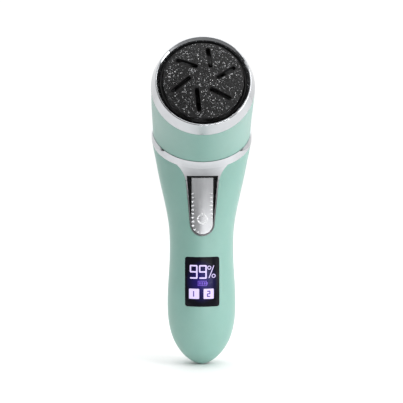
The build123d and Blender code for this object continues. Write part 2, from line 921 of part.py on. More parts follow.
cover_back = gearbox_back + gear_cover_thickness
with BuildPart() as gear_cover:
    with BuildSketch(head_plane(cover_back)):
        Circle(gearbox_radius)
        with PolarLocations(gearbox_radius + 1.4, planet_count, start_angle=90):
            Circle(screw_radius + 1.3)
        Circle(shaft_radius + 0.6, mode=Mode.SUBTRACT)
        with PolarLocations(gearbox_radius + 1.4, planet_count, start_angle=90):
            Circle(screw_radius + 0.1, mode=Mode.SUBTRACT)
    extrude(amount=gear_cover_thickness)
save(gear_cover.part, "gear_cover")

with BuildPart() as gearbox_screws:
    with BuildSketch(head_plane(cover_back)):
        with PolarLocations(gearbox_radius + 1.4, planet_count, start_angle=90):
            Circle(screw_radius)
    extrude(amount=gear_cover_thickness)
    with BuildSketch(head_plane(cover_back)):
        with PolarLocations(gearbox_radius + 1.4, planet_count, start_angle=90):
            Circle(screw_head_radius - 0.2)
    extrude(amount=-0.5)
save(gearbox_screws.part, "gearbox_screws")

# ---------------------------------------------------------------- fan and motor
fan_front = cover_back + 0.8
fan_back = fan_front + fan_width
fan_plate = 0.8
fan_hub = 3.2
blade_width = 0.8
mount_back = mount_front + mount_thickness
motor_back = mount_back + motor_length
armature_radius = 6.6
armature_length = 11.0
magnet_inner = 7.2
shaft_front = planet_front

with BuildPart() as fan_impeller:
    with BuildSketch(head_plane(fan_back)):
        Circle(fan_radius)
        Circle(shaft_radius, mode=Mode.SUBTRACT)
    extrude(amount=fan_plate)
    with BuildSketch(head_plane(fan_back)):
        Circle(fan_hub)
        Circle(shaft_radius, mode=Mode.SUBTRACT)
    extrude(amount=fan_width)
    with BuildSketch(head_plane(fan_back)):
        for blade in range(fan_blades):
            with PolarLocations(0, 1, start_angle=blade * 360 / fan_blades):
                with Locations(((fan_radius + 7.0) / 2, 0)):
                    Rectangle(fan_radius - 7.0 - 0.4, blade_width, rotation=24)
    extrude(amount=fan_width)
save(fan_impeller.part, "fan_impeller")

with BuildPart() as motor_shaft:
    with BuildSketch(head_plane(motor_back + motor_cap - 0.2)):
        Circle(shaft_radius)
    extrude(amount=motor_back + motor_cap - 0.2 - shaft_front)
save(motor_shaft.part, "motor_shaft")

with BuildPart() as motor_mount:
    with BuildSketch(head_plane(mount_back)):
        Circle(mount_radius)
        Circle(2.6, mode=Mode.SUBTRACT)
        with PolarLocations(14.6, 6, start_angle=0):
            Circle(2.9, mode=Mode.SUBTRACT)
        with PolarLocations(pillar_circle, planet_count, start_angle=30):
            Circle(screw_radius + 0.1, mode=Mode.SUBTRACT)
        with PolarLocations(6.0, 2, start_angle=90):
            Circle(screw_radius + 0.1, mode=Mode.SUBTRACT)
    extrude(amount=mount_thickness)
save(motor_mount.part, "motor_mount")

with BuildPart() as mount_screws:
    with BuildSketch(head_plane(mount_back)):
        with PolarLocations(pillar_circle, planet_count, start_angle=30):
            Circle(screw_radius)
    extrude(amount=screw_length - 1)
    with BuildSketch(head_plane(mount_back)):
        with PolarLocations(pillar_circle, planet_count, start_angle=30):
            Circle(screw_head_radius)
    extrude(amount=-screw_head_height)
save(mount_screws.part, "mount_screws")

with BuildPart() as motor_screws:
    with BuildSketch(head_plane(mount_front)):
        with PolarLocations(6.0, 2, start_angle=90):
            Circle(screw_head_radius - 0.2)
    extrude(amount=0.5)
    with BuildSketch(head_plane(mount_front)):
        with PolarLocations(6.0, 2, start_angle=90):
            Circle(screw_radius)
    extrude(amount=-mount_thickness)
save(motor_screws.part, "motor_screws")

with BuildPart() as motor_can:
    with BuildSketch(head_plane(motor_back)):
        Circle(motor_radius)
    extrude(amount=motor_length)
    with BuildSketch(head_plane(motor_back)):
        Circle(motor_radius - motor_wall)
    extrude(amount=motor_length - motor_wall, mode=Mode.SUBTRACT)
    with BuildSketch(head_plane(motor_back)):
        Circle(shaft_radius + running_gap)
    extrude(amount=motor_length, mode=Mode.SUBTRACT)
save(motor_can.part, "motor_can")

with BuildPart() as motor_magnets:
    with BuildSketch(head_plane(motor_back - 2)):
        Circle(motor_radius - motor_wall)
        Circle(magnet_inner, mode=Mode.SUBTRACT)
        Rectangle(2 * motor_radius, 3.0, mode=Mode.SUBTRACT)
    extrude(amount=armature_length + 2)
save(motor_magnets.part, "motor_magnets")

with BuildPart() as motor_armature:
    with BuildSketch(head_plane(motor_back - 3)):
        Circle(armature_radius)
        with PolarLocations(armature_radius, 3, start_angle=30):
            Rectangle(4.0, 1.6, mode=Mode.SUBTRACT)
        Circle(shaft_radius, mode=Mode.SUBTRACT)
    extrude(amount=armature_length)
save(motor_armature.part, "motor_armature")

with BuildPart() as motor_end_cap:
    with BuildSketch(head_plane(motor_back + motor_cap)):
        Circle(motor_radius - 0.3)
    extrude(amount=motor_cap)
    with BuildSketch(head_plane(motor_back + motor_cap - 0.1)):
        Circle(shaft_radius + running_gap)
    extrude(amount=motor_cap, mode=Mode.SUBTRACT)
save(motor_end_cap.part, "motor_end_cap")

# ---------------------------------------------------------------- handle's inside
board_height = board_top - board_bottom
board_back = board_face + board_thickness
with BuildPart() as main_board:
    with BuildSketch(Plane.XZ.offset(-board_back)):
        with Locations((0, (board_top + board_bottom) / 2)):
            RectangleRounded(board_width, board_height, 1.5)
    extrude(amount=board_thickness)
save(main_board.part, "main_board")

with BuildPart() as display_module:
    with BuildSketch(Plane.XZ.offset(-board_face)):
        with Locations((0, window_centre)):
            Rectangle(window_width - 3.6, window_height - 2.0)
    extrude(amount=module_thickness)
save(display_module.part, "display_module")

with BuildPart() as control_chip:
    with BuildSketch(Plane.XZ.offset(-board_face)):
        with Locations((0, window_centre + window_height / 2 + 6)):
            Rectangle(6.0, 6.0)
    extrude(amount=0.9)
save(control_chip.part, "control_chip")

switch_width = 6.0
switch_body_height = 0.9
plunger_radius = 1.6
actuator_gap = 0.45
with BuildPart() as switch_body:
    with BuildSketch(Plane.XZ.offset(-board_face)):
        with Locations((0, button_middle)):
            Rectangle(switch_width, switch_width)
            Circle(plunger_radius + 0.05, mode=Mode.SUBTRACT)
    extrude(amount=switch_body_height)
save(switch_body.part, "switch_body")

button_back = -front_face_at(button_middle) - button_thickness
with BuildPart() as switch_plunger:
    with BuildSketch(Plane.XZ.offset(-board_face + 0.7)):
        with Locations((0, button_middle)):
            Circle(plunger_radius)
    extrude(amount=button_back - actuator_gap - 0.7 + board_face)
save(switch_plunger.part, "switch_plunger")

leaf_thickness = 0.15
leaf_width = 2.0
leaf_foot = 3.0
leaf_bend = 2.2
leaf_crown = 0.8
leaf_back = button_foot_y + tray_depth - tray_floor + 0.06
leaf_crown_back = button_foot_y + button_thickness + 0.14 + leaf_thickness
with BuildPart() as button_spring:
    with BuildSketch(Plane.XY.offset(button_foot_centre - leaf_width / 2)):
        with BuildLine():
            Polyline(
                (-leaf_foot, leaf_back),
                (-leaf_bend, leaf_back),
                (-leaf_crown, leaf_crown_back),
                (leaf_crown, leaf_crown_back),
                (leaf_bend, leaf_back),
                (leaf_foot, leaf_back),
                (leaf_foot, leaf_back - leaf_thickness),
                (leaf_bend, leaf_back - leaf_thickness),
                (leaf_crown, leaf_crown_back - leaf_thickness),
                (-leaf_crown, leaf_crown_back - leaf_thickness),
                (-leaf_bend, leaf_back - leaf_thickness),
                (-leaf_foot, leaf_back - leaf_thickness),
                close=True,
            )
        make_face()
    extrude(amount=leaf_width)
save(button_spring.part, "button_spring")

with BuildPart() as battery_cell:
    with BuildSketch(Plane.XY.offset(cell_bottom)):
        with Locations((0, cell_centre)):
            Circle(cell_radius)
    extrude(amount=cell_length)
    fillet(battery_cell.edges().group_by(Axis.Z)[0] + battery_cell.edges().group_by(Axis.Z)[-1], 0.8)
save(battery_cell.part, "battery_cell")

tab_thickness = 0.3
with BuildPart() as battery_tabs:
    for height in (cell_bottom - tab_thickness, cell_bottom + cell_length):
        with BuildSketch(Plane.XY.offset(height)):
            with Locations((0, cell_centre - 3)):
                Rectangle(6.0, 12.0)
        extrude(amount=tab_thickness)
save(battery_tabs.part, "battery_tabs")

cradle_gap = 0.1
cradle_width = 5.0
with BuildPart() as battery_cradle:
    for height in (cell_bottom + 8, cell_bottom + cell_length - 14):
        with BuildSketch(Plane.XY.offset(height)):
            with Locations((0, cell_centre)):
                Rectangle(2 * cell_radius + 2.4, 2 * cell_radius)
                Circle(cell_radius + cradle_gap, mode=Mode.SUBTRACT)
            with Locations((0, cell_centre - cell_radius)):
                Rectangle(4 * cell_radius, 0.9 * cell_radius, mode=Mode.SUBTRACT)
        extrude(amount=cradle_width)
    add(form(wall + 0.2), mode=Mode.INTERSECT)
save(battery_cradle.part, "battery_cradle")

with BuildPart() as charge_socket:
    with BuildSketch(Plane.XY.offset(socket_recess)):
        RectangleRounded(socket_width, socket_height, socket_corner)
        RectangleRounded(
            socket_width - 2 * socket_wall,
            socket_height - 2 * socket_wall,
            socket_corner - socket_wall,
            mode=Mode.SUBTRACT,
        )
    extrude(amount=socket_length)
    with BuildSketch(Plane.XY.offset(socket_recess + socket_length - 1.2)):
        RectangleRounded(socket_width - socket_wall, socket_height - socket_wall, socket_corner - 0.2)
    extrude(amount=1.2)
    with BuildSketch(Plane.XY.offset(socket_recess + 1.0)):
        Rectangle(6.7, 0.7)
    extrude(amount=socket_length - 1.5)
save(charge_socket.part, "charge_socket")

charge_board_bottom = 6.6
with BuildPart() as charge_board:
    with BuildSketch(Plane.XZ.offset(-socket_height / 2 - board_thickness)):
        with Locations((0, (charge_board_bottom + cell_bottom - 1.5) / 2)):
            Rectangle(12.4, cell_bottom - 1.5 - charge_board_bottom)
    extrude(amount=board_thickness)
save(charge_board.part, "charge_board")


# ---------------------------------------------------------------- wires
wire_radius = 0.5


def lead(points, name):
    """A pair of wires along this route, side by side."""
    with BuildPart() as pair:
        for side in (-1, 1):
            route = [(x + side * 1.1 * wire_radius, y, z) for x, y, z in points]
            with BuildLine() as path:
                Spline(*route)
            with BuildSketch(Plane(origin=path.line @ 0, z_dir=path.line % 0)):
                Circle(wire_radius)
            sweep()
    save(pair.part, name)


motor_tail = head_plane(motor_back + motor_cap).origin
lead(
    [
        (0, board_back + 0.6, board_top - 3),
        (0, board_back + 4.0, board_top + 4),
        (0, motor_tail.Y - 4.5, motor_tail.Z - 10.5),
        (0, motor_tail.Y + 0.2, motor_tail.Z - 4.5),
    ],
    "motor_leads",
)
lead(
    [
        (4.5, board_back + 0.6, board_bottom + 3),
        (5.0, board_back + 1.0, board_bottom - 2),
        (4.0, board_back + 4.0, board_bottom - 7),
        (3.0, socket_height / 2 - 0.6, board_bottom - 8),
    ],
    "charge_leads",
)
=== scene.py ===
"""Dress the callus remover's frame: finishes, grit, display figures, stage, lights and camera."""
import json
import logging
import math
import random
from dataclasses import dataclass
from enum import Enum

import bpy
from mathutils import Matrix, Vector
from mathutils.bvhtree import BVHTree


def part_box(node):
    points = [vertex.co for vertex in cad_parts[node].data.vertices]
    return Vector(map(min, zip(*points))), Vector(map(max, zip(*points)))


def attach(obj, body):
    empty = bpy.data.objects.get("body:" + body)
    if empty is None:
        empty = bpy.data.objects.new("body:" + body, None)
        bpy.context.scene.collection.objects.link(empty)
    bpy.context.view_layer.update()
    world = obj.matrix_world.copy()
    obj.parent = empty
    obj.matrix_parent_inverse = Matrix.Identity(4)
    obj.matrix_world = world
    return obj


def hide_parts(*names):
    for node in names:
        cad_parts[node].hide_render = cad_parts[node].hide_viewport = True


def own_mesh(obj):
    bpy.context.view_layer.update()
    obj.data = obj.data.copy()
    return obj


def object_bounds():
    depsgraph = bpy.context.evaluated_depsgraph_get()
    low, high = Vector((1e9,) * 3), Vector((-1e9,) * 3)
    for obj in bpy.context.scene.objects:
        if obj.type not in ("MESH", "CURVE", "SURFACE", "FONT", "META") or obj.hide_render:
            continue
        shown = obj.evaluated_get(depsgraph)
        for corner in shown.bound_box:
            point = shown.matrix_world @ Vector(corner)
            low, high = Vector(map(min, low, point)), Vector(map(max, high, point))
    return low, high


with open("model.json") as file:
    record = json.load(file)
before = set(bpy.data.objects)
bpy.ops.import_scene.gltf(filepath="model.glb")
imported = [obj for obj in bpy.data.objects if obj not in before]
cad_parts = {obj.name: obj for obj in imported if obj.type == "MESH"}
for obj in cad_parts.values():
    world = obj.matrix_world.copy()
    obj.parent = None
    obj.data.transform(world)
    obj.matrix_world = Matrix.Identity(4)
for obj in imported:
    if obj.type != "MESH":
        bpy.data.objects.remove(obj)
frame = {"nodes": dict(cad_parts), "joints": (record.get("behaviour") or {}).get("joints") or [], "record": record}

MM = 0.001
CAD_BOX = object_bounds()
log = logging.getLogger("callus_remover")


# ------------------------------------------------------------------ node helpers
def linear(colour: str) -> tuple[float, float, float, float]:
    """Turn an sRGB hex colour into linear light.

    Args:
        colour: Six hex digits, such as "A1C4B8".

    Returns:
        Red, green, blue and an alpha of one.
    """
    parts = []
    for start in (0, 2, 4):
        value = int(colour[start:start + 2], 16) / 255
        parts.append(value / 12.92 if value <= 0.04045 else ((value + 0.055) / 1.055) ** 2.4)
    return (parts[0], parts[1], parts[2], 1.0)


def add_node(
    tree: bpy.types.NodeTree,
    kind: str,
    settings: dict[str, object] | None = None,
    links: dict[str, bpy.types.NodeSocket] | None = None,
) -> bpy.types.Node:
    """Add one node with its settings and its incoming links.

    Args:
        tree: The node tree to add to.
        kind: The node's type, such as "ShaderNodeTexNoise".
        settings: Values by the name of an input socket or of a property, or the position and
            colour of each stop, in order, under "stops".
        links: Output sockets by the name of the input that each one feeds.

    Returns:
        The new node.
    """
    node = tree.nodes.new(kind)
    for name, value in (settings or {}).items():
        if name == "stops":
            elements = node.color_ramp.elements
            while len(elements) < len(value):
                elements.new(0.5)
            for element, (position, colour) in zip(elements, value):
                element.position = position
                element.color = colour
        elif name in node.inputs:
            node.inputs[name].default_value = value
        else:
            setattr(node, name, value)
    for name, source in (links or {}).items():
        tree.links.new(source, node.inputs[name])
    return node


def grey(value: float) -> tuple[float, float, float, float]:
    """Return a neutral colour of this linear value."""
    return (value, value, value, 1.0)


# ------------------------------------------------------------------ finishes
@dataclass(frozen=True)
class Finish:
    """A finish with two close colours, a gloss that varies and a fine bump.

    The pattern sizes are real ones, in millimetres.
    """

    name: str
    colour: str
    shade: str
    roughness: float
    metallic: float = 0.0
    ior: float = 1.5
    gloss_spread: float = 0.05
    pattern_mm: float = 6.0
    grain_mm: float = 0.25
    grain_depth_mm: float = 0.01
    stretch: tuple[float, float, float] = (1.0, 1.0, 1.0)
    coat: float = 0.0
    coat_roughness: float = 0.05
    sheen: float = 0.0
    subsurface: float = 0.0
    emission: str = ""
    emission_strength: float = 0.0

    def make(self) -> bpy.types.Material:
        """Build the material.

        Returns:
            A new node material.
        """
        material = bpy.data.materials.new(self.name)
        material.use_nodes = True
        tree = material.node_tree
        shader = tree.nodes["Principled BSDF"]
        shader.inputs["Metallic"].default_value = self.metallic
        if self.metallic < 0.5:
            shader.inputs["IOR"].default_value = self.ior
        shader.inputs["Coat Weight"].default_value = self.coat
        shader.inputs["Coat Roughness"].default_value = self.coat_roughness
        shader.inputs["Sheen Weight"].default_value = self.sheen
        shader.inputs["Subsurface Weight"].default_value = self.subsurface
        shader.inputs["Subsurface Scale"].default_value = 1.0 * MM
        if self.emission:
            shader.inputs["Emission Color"].default_value = linear(self.emission)
            shader.inputs["Emission Strength"].default_value = self.emission_strength
        place = add_node(tree, "ShaderNodeTexCoord")
        mapped = add_node(
            tree, "ShaderNodeMapping", {"Scale": self.stretch}, {"Vector": place.outputs["Object"]}
        )
        cloud = add_node(
            tree,
            "ShaderNodeTexNoise",
            {"Scale": 1 / (self.pattern_mm * MM), "Detail": 4.0, "Roughness": 0.6},
            {"Vector": mapped.outputs["Vector"]},
        )
        tone = add_node(
            tree,
            "ShaderNodeValToRGB",
            {"stops": [(0.3, linear(self.shade)), (0.7, linear(self.colour))]},
            {"Fac": cloud.outputs["Fac"]},
        )
        tree.links.new(tone.outputs["Color"], shader.inputs["Base Color"])
        gloss = add_node(
            tree,
            "ShaderNodeMapRange",
            {
                "From Min": 0.3,
                "From Max": 0.7,
                "To Min": max(0.0, self.roughness - self.gloss_spread),
                "To Max": self.roughness + self.gloss_spread,
            },
            {"Value": cloud.outputs["Fac"]},
        )
        tree.links.new(gloss.outputs["Result"], shader.inputs["Roughness"])
        grain = add_node(
            tree,
            "ShaderNodeTexNoise",
            {"Scale": 1 / (self.grain_mm * MM), "Detail": 2.0},
            {"Vector": mapped.outputs["Vector"]},
        )
        bump = add_node(
            tree,
            "ShaderNodeBump",
            {"Strength": 0.6, "Distance": self.grain_depth_mm * MM},
            {"Height": grain.outputs["Fac"]},
        )
        tree.links.new(bump.outputs["Normal"], shader.inputs["Normal"])
        return material


class Look(Enum):
    """Every finish on the object, by what the real surface is; some also paint in a highlight or shade, as their
    comments say.
    """

    # Soft touch lacquer on moulded ABS: even, satin, with a fine bloom of light at the edges.
    SOFT_TOUCH_MINT = Finish(
        "soft_touch_mint_abs", "84ACA2", "80A89E", 0.38, gloss_spread=0.03, pattern_mm=9.0,
        grain_mm=0.18, grain_depth_mm=0.006, sheen=0.08, subsurface=0.04,
    )
    # Chrome plate on polished ABS: a mirror with a trace of moulding waviness.
    CHROME_PLATE = Finish(
        "bright_chrome_plate", "C3C5C8", "BCBEC1", 0.07, metallic=1.0, gloss_spread=0.02,
        pattern_mm=4.0, grain_mm=2.5, grain_depth_mm=0.004,
    )
    # Satin chrome: plated over a fine blasted mould, so reflections are soft.
    SATIN_CHROME = Finish(
        "satin_chrome_plate", "C4C6C8", "C0C2C4", 0.22, metallic=1.0, gloss_spread=0.015,
        pattern_mm=9.0, grain_mm=0.2, grain_depth_mm=0.003,
    )
    # Metallised button, brushed across its length.
    BRUSHED_SILVER = Finish(
        "brushed_silver_plate", "B6B7B9", "AFB0B3", 0.34, metallic=1.0, gloss_spread=0.03,
        pattern_mm=1.6, grain_mm=0.3, grain_depth_mm=0.004, stretch=(1.0, 1.0, 0.12),
    )
    # Smoked acrylic over the display, polished like glass.
    SMOKED_ACRYLIC = Finish(
        "smoked_black_acrylic", "05050A", "030306", 0.06, ior=1.33, gloss_spread=0.01,
        pattern_mm=8.0, grain_mm=3.0, grain_depth_mm=0.001,
    )
    # Thin float glass on the display module, nearly black when seen from the side.
    DISPLAY_GLASS = Finish(
        "display_glass", "14141E", "0E0E18", 0.12, ior=1.52, grain_depth_mm=0.001,
    )
    # White light with a violet cast, as a back lit figure gives through a diffuser.
    LIT_WHITE = Finish(
        "lit_figure_white", "6A5C90", "64568A", 0.4, emission="E9DCFF", emission_strength=0.85,
        grain_depth_mm=0.0,
    )
    # The same print lit weakly, so that only its violet shows.
    LIT_VIOLET = Finish(
        "lit_figure_violet", "4A2C9A", "43288C", 0.4, emission="8A60E8", emission_strength=0.35,
        grain_depth_mm=0.0,
    )
    # Violet ink that stops the light behind a lit key.
    DARK_VIOLET = Finish(
        "unlit_figure_violet", "4A2C9A", "43288C", 0.6, ior=1.3, grain_depth_mm=0.0,
    )
    # Pale fill in the engraved power sign: a painted highlight for the light that its engraved edges catch against
    # the satin.
    PAINTED_SIGN_HIGHLIGHT = Finish(
        "painted_sign_highlight", "F2F3F4", "E8E9EA", 0.35, metallic=0.4, pattern_mm=1.0, grain_mm=0.2,
    )
    # Solder mask on glass fibre board, with the weave just showing.
    BOARD = Finish(
        "green_solder_mask", "1C5A38", "174E30", 0.35, pattern_mm=3.0, grain_mm=0.5, coat=0.3,
    )
    # Matt moulding compound round a chip.
    EPOXY = Finish(
        "moulded_black_epoxy", "1A1A1C", "141416", 0.55, grain_mm=0.12, grain_depth_mm=0.01,
    )
    # Bright turned metal with soft reflections.
    STEEL = Finish(
        "turned_steel", "B9BBBE", "A8AAAE", 0.24, metallic=1.0, pattern_mm=2.0, grain_mm=0.2,
    )
    # Steel painted dark as shade, so the button's pin sits dark in its gap, with a dull edge of light.
    PIN_STEEL_PAINTED_DARK = Finish(
        "pin_steel_painted_shade", "26272A", "1B1C1E", 0.4, metallic=1.0, pattern_mm=1.0, grain_mm=0.2,
    )
    # Blue grey plating with a faint spangle.
    ZINC = Finish(
        "zinc_plated_steel", "B4B8BE", "9EA3AB", 0.34, metallic=1.0, pattern_mm=0.8, grain_mm=0.15,
    )
    # Warm rolled strip, welded to the cell.
    NICKEL = Finish("nickel_strip", "C2BEB2", "B0AC9F", 0.28, metallic=1.0, grain_mm=0.3)
    # Pressed powder bearing metal: brown gold and slightly pitted.
    BRONZE = Finish(
        "sintered_bronze", "A87B44", "8C6435", 0.42, metallic=1.0, pattern_mm=0.9, grain_mm=0.12,
        grain_depth_mm=0.02,
    )
    # Wound wire: ridges run round the coil.
    COPPER = Finish(
        "enamelled_copper_winding", "B4653A", "7D4526", 0.35, metallic=1.0, pattern_mm=1.2,
        grain_mm=0.3, grain_depth_mm=0.04, stretch=(0.2, 1.0, 1.0),
    )
    # Fired ceramic magnet, dull dark grey.
    FERRITE = Finish("ferrite_magnet", "3A3B3E", "2E2F31", 0.6, pattern_mm=1.5, grain_mm=0.2)
    # Spark textured moulding: broad soft highlights on black.
    BLACK_ABS = Finish(
        "black_moulded_abs", "1D1D1F", "161617", 0.48, gloss_spread=0.06, pattern_mm=5.0,
        grain_mm=0.2, grain_depth_mm=0.012,
    )
    # Slippery white moulding that lets a little light in.
    ACETAL = Finish("white_acetal", "E4E3DC", "DAD8D0", 0.38, grain_mm=0.3, subsurface=0.1)
    # Moulded nitrile: nearly no highlight.
    RUBBER = Finish(
        "black_nitrile_rubber", "161616", "101010", 0.7, grain_mm=0.2, grain_depth_mm=0.02,
    )
    # Shiny film shrunk tight round the cell.
    SLEEVE = Finish("blue_shrink_sleeve", "2B5C9E", "24508C", 0.25, pattern_mm=7.0, coat=0.2)
    # Extruded insulation with a waxy highlight.
    WIRE = Finish("red_wire_insulation", "A3241C", "8C1D16", 0.4, grain_mm=0.3)
    # Fine weave: bright wires with the holes between painted dark as shade, drawn coarser than the real one.
    MESH = Finish(
        "woven_steel_mesh", "8E8F90", "2A2A2B", 0.4, metallic=1.0, pattern_mm=0.25, grain_mm=0.25,
        grain_depth_mm=0.08,
    )
    # Silicon carbide grit in black resin: dark, rough, with bright crystal faces.
    GRIT_BED = Finish(
        "black_grit_resin", "0D0D0E", "040404", 0.8, pattern_mm=0.5, grain_mm=0.45,
        grain_depth_mm=0.25,
    )


SLOT_LOOKS = {
    "mint_shell": Look.SOFT_TOUCH_MINT,
    "chrome_trim": Look.CHROME_PLATE,
    "silver_cover": Look.SATIN_CHROME,
    "button_silver": Look.BRUSHED_SILVER,
    "window_black": Look.SMOKED_ACRYLIC,
    "display_glass": Look.DISPLAY_GLASS,
    "board_green": Look.BOARD,
    "chip_black": Look.EPOXY,
    "steel": Look.STEEL,
    "zinc_screw": Look.ZINC,
    "black_plastic": Look.BLACK_ABS,
    "white_plastic": Look.ACETAL,
    "bronze": Look.BRONZE,
    "black_rubber": Look.RUBBER,
    "grit_black": Look.GRIT_BED,
    "mesh_steel": Look.MESH,
    "magnet_grey": Look.FERRITE,
    "winding_copper": Look.COPPER,
    "cell_sleeve": Look.SLEEVE,
    "nickel": Look.NICKEL,
    "wire_red": Look.WIRE,
}

NODE_LOOKS = {
    # The pin's dark colour is painted shade in the gap by the button.
    "button_pin": Look.PIN_STEEL_PAINTED_DARK,
}


class Paintbox:
    """Materials of the object, each made once and then shared."""

    def __init__(self) -> None:
        """Start with no materials."""
        self.made: dict[str, bpy.types.Material] = {}

    def get(self, look: Look) -> bpy.types.Material:
        """Return the material of this look, making it the first time.

        Args:
            look: The finish wanted.

        Returns:
            Its material.
        """
        if look.name not in self.made:
            self.made[look.name] = look.value.make()
        return self.made[look.name]

    def dress(self, piece: bpy.types.Object, material: bpy.types.Material) -> None:
        """Give the whole piece this one material.

        Args:
            piece: A mesh object.
            material: Its new material.
        """
        if not piece.material_slots:
            piece.data.materials.append(material)
        for slot in piece.material_slots:
            slot.link = "OBJECT"
            slot.material = material


PAINTS = Paintbox()


# ------------------------------------------------------------------ modelling helpers
def clear_selection() -> None:
    """Leave edit mode and deselect everything."""
    if bpy.context.object and bpy.context.object.mode != "OBJECT":
        bpy.ops.object.mode_set(mode="OBJECT")
    bpy.ops.object.select_all(action="DESELECT")


def activate(piece: bpy.types.Object) -> None:
    """Select only this piece and make it the active one."""
    clear_selection()
    piece.select_set(True)
    bpy.context.view_layer.objects.active = piece


def settle(piece: bpy.types.Object) -> None:
    """Bake the piece's place, turn and size into its mesh."""
    activate(piece)
    bpy.ops.object.transform_apply(location=True, rotation=True, scale=True)


def join(pieces: list[bpy.types.Object], name: str) -> bpy.types.Object:
    """Join pieces into one with this name, its place in its mesh.

    Args:
        pieces: Mesh objects.
        name: Name of the joined piece.

    Returns:
        The joined piece.
    """
    clear_selection()
    for piece in pieces:
        piece.select_set(True)
    bpy.context.view_layer.objects.active = pieces[0]
    if len(pieces) > 1:
        bpy.ops.object.join()
    joined = bpy.context.object
    joined.name = name
    joined.data.name = name
    settle(joined)
    return joined


def apply_modifier(piece: bpy.types.Object, kind: str, name: str, **settings: object) -> None:
    """Add a modifier with its settings and apply it.

    Args:
        piece: The piece to change.
        kind: The modifier's type.
        name: The modifier's name.
        **settings: Its properties.
    """
    activate(piece)
    modifier = piece.modifiers.new(name, kind)
    for key, value in settings.items():
        setattr(modifier, key, value)
    bpy.ops.object.modifier_apply(modifier=modifier.name)


def surface_tree(node: str) -> BVHTree:
    """Return a tree for finding places on a CAD node's surface.

    Args:
        node: The CAD node's name.

    Returns:
        A tree of the node's faces, in metres in the row frame.
    """
    mesh = frame["nodes"][node].data
    corners = [vertex.co.copy() for vertex in mesh.vertices]
    return BVHTree.FromPolygons(corners, [tuple(face.vertices) for face in mesh.polygons])


@dataclass(frozen=True)
class DiscFrame:
    """The disc's own axes, from the joint that it spins on."""

    centre: Vector
    axis: Vector
    across: Vector
    up: Vector

    @classmethod
    def from_joint(cls, name: str) -> "DiscFrame":
        """Read the axes from a hinge of the frame.

        Args:
            name: The hinge's name.

        Returns:
            The disc's axes, with the axis pointing out of the head.
        """
        joint = next(joint for joint in frame["joints"] if joint["name"] == name)
        axis = Vector(joint["axis"]).normalized()
        across = Vector((1.0, 0.0, 0.0))
        return cls(Vector(joint["pos_m"]), axis, across, axis.cross(across))

    def point(self, across: float, up: float, out: float) -> Vector:
        """Return the point at these distances along the three axes."""
        return self.centre + self.across * across + self.up * up + self.axis * out


DISC = DiscFrame.from_joint("spindle_spin")


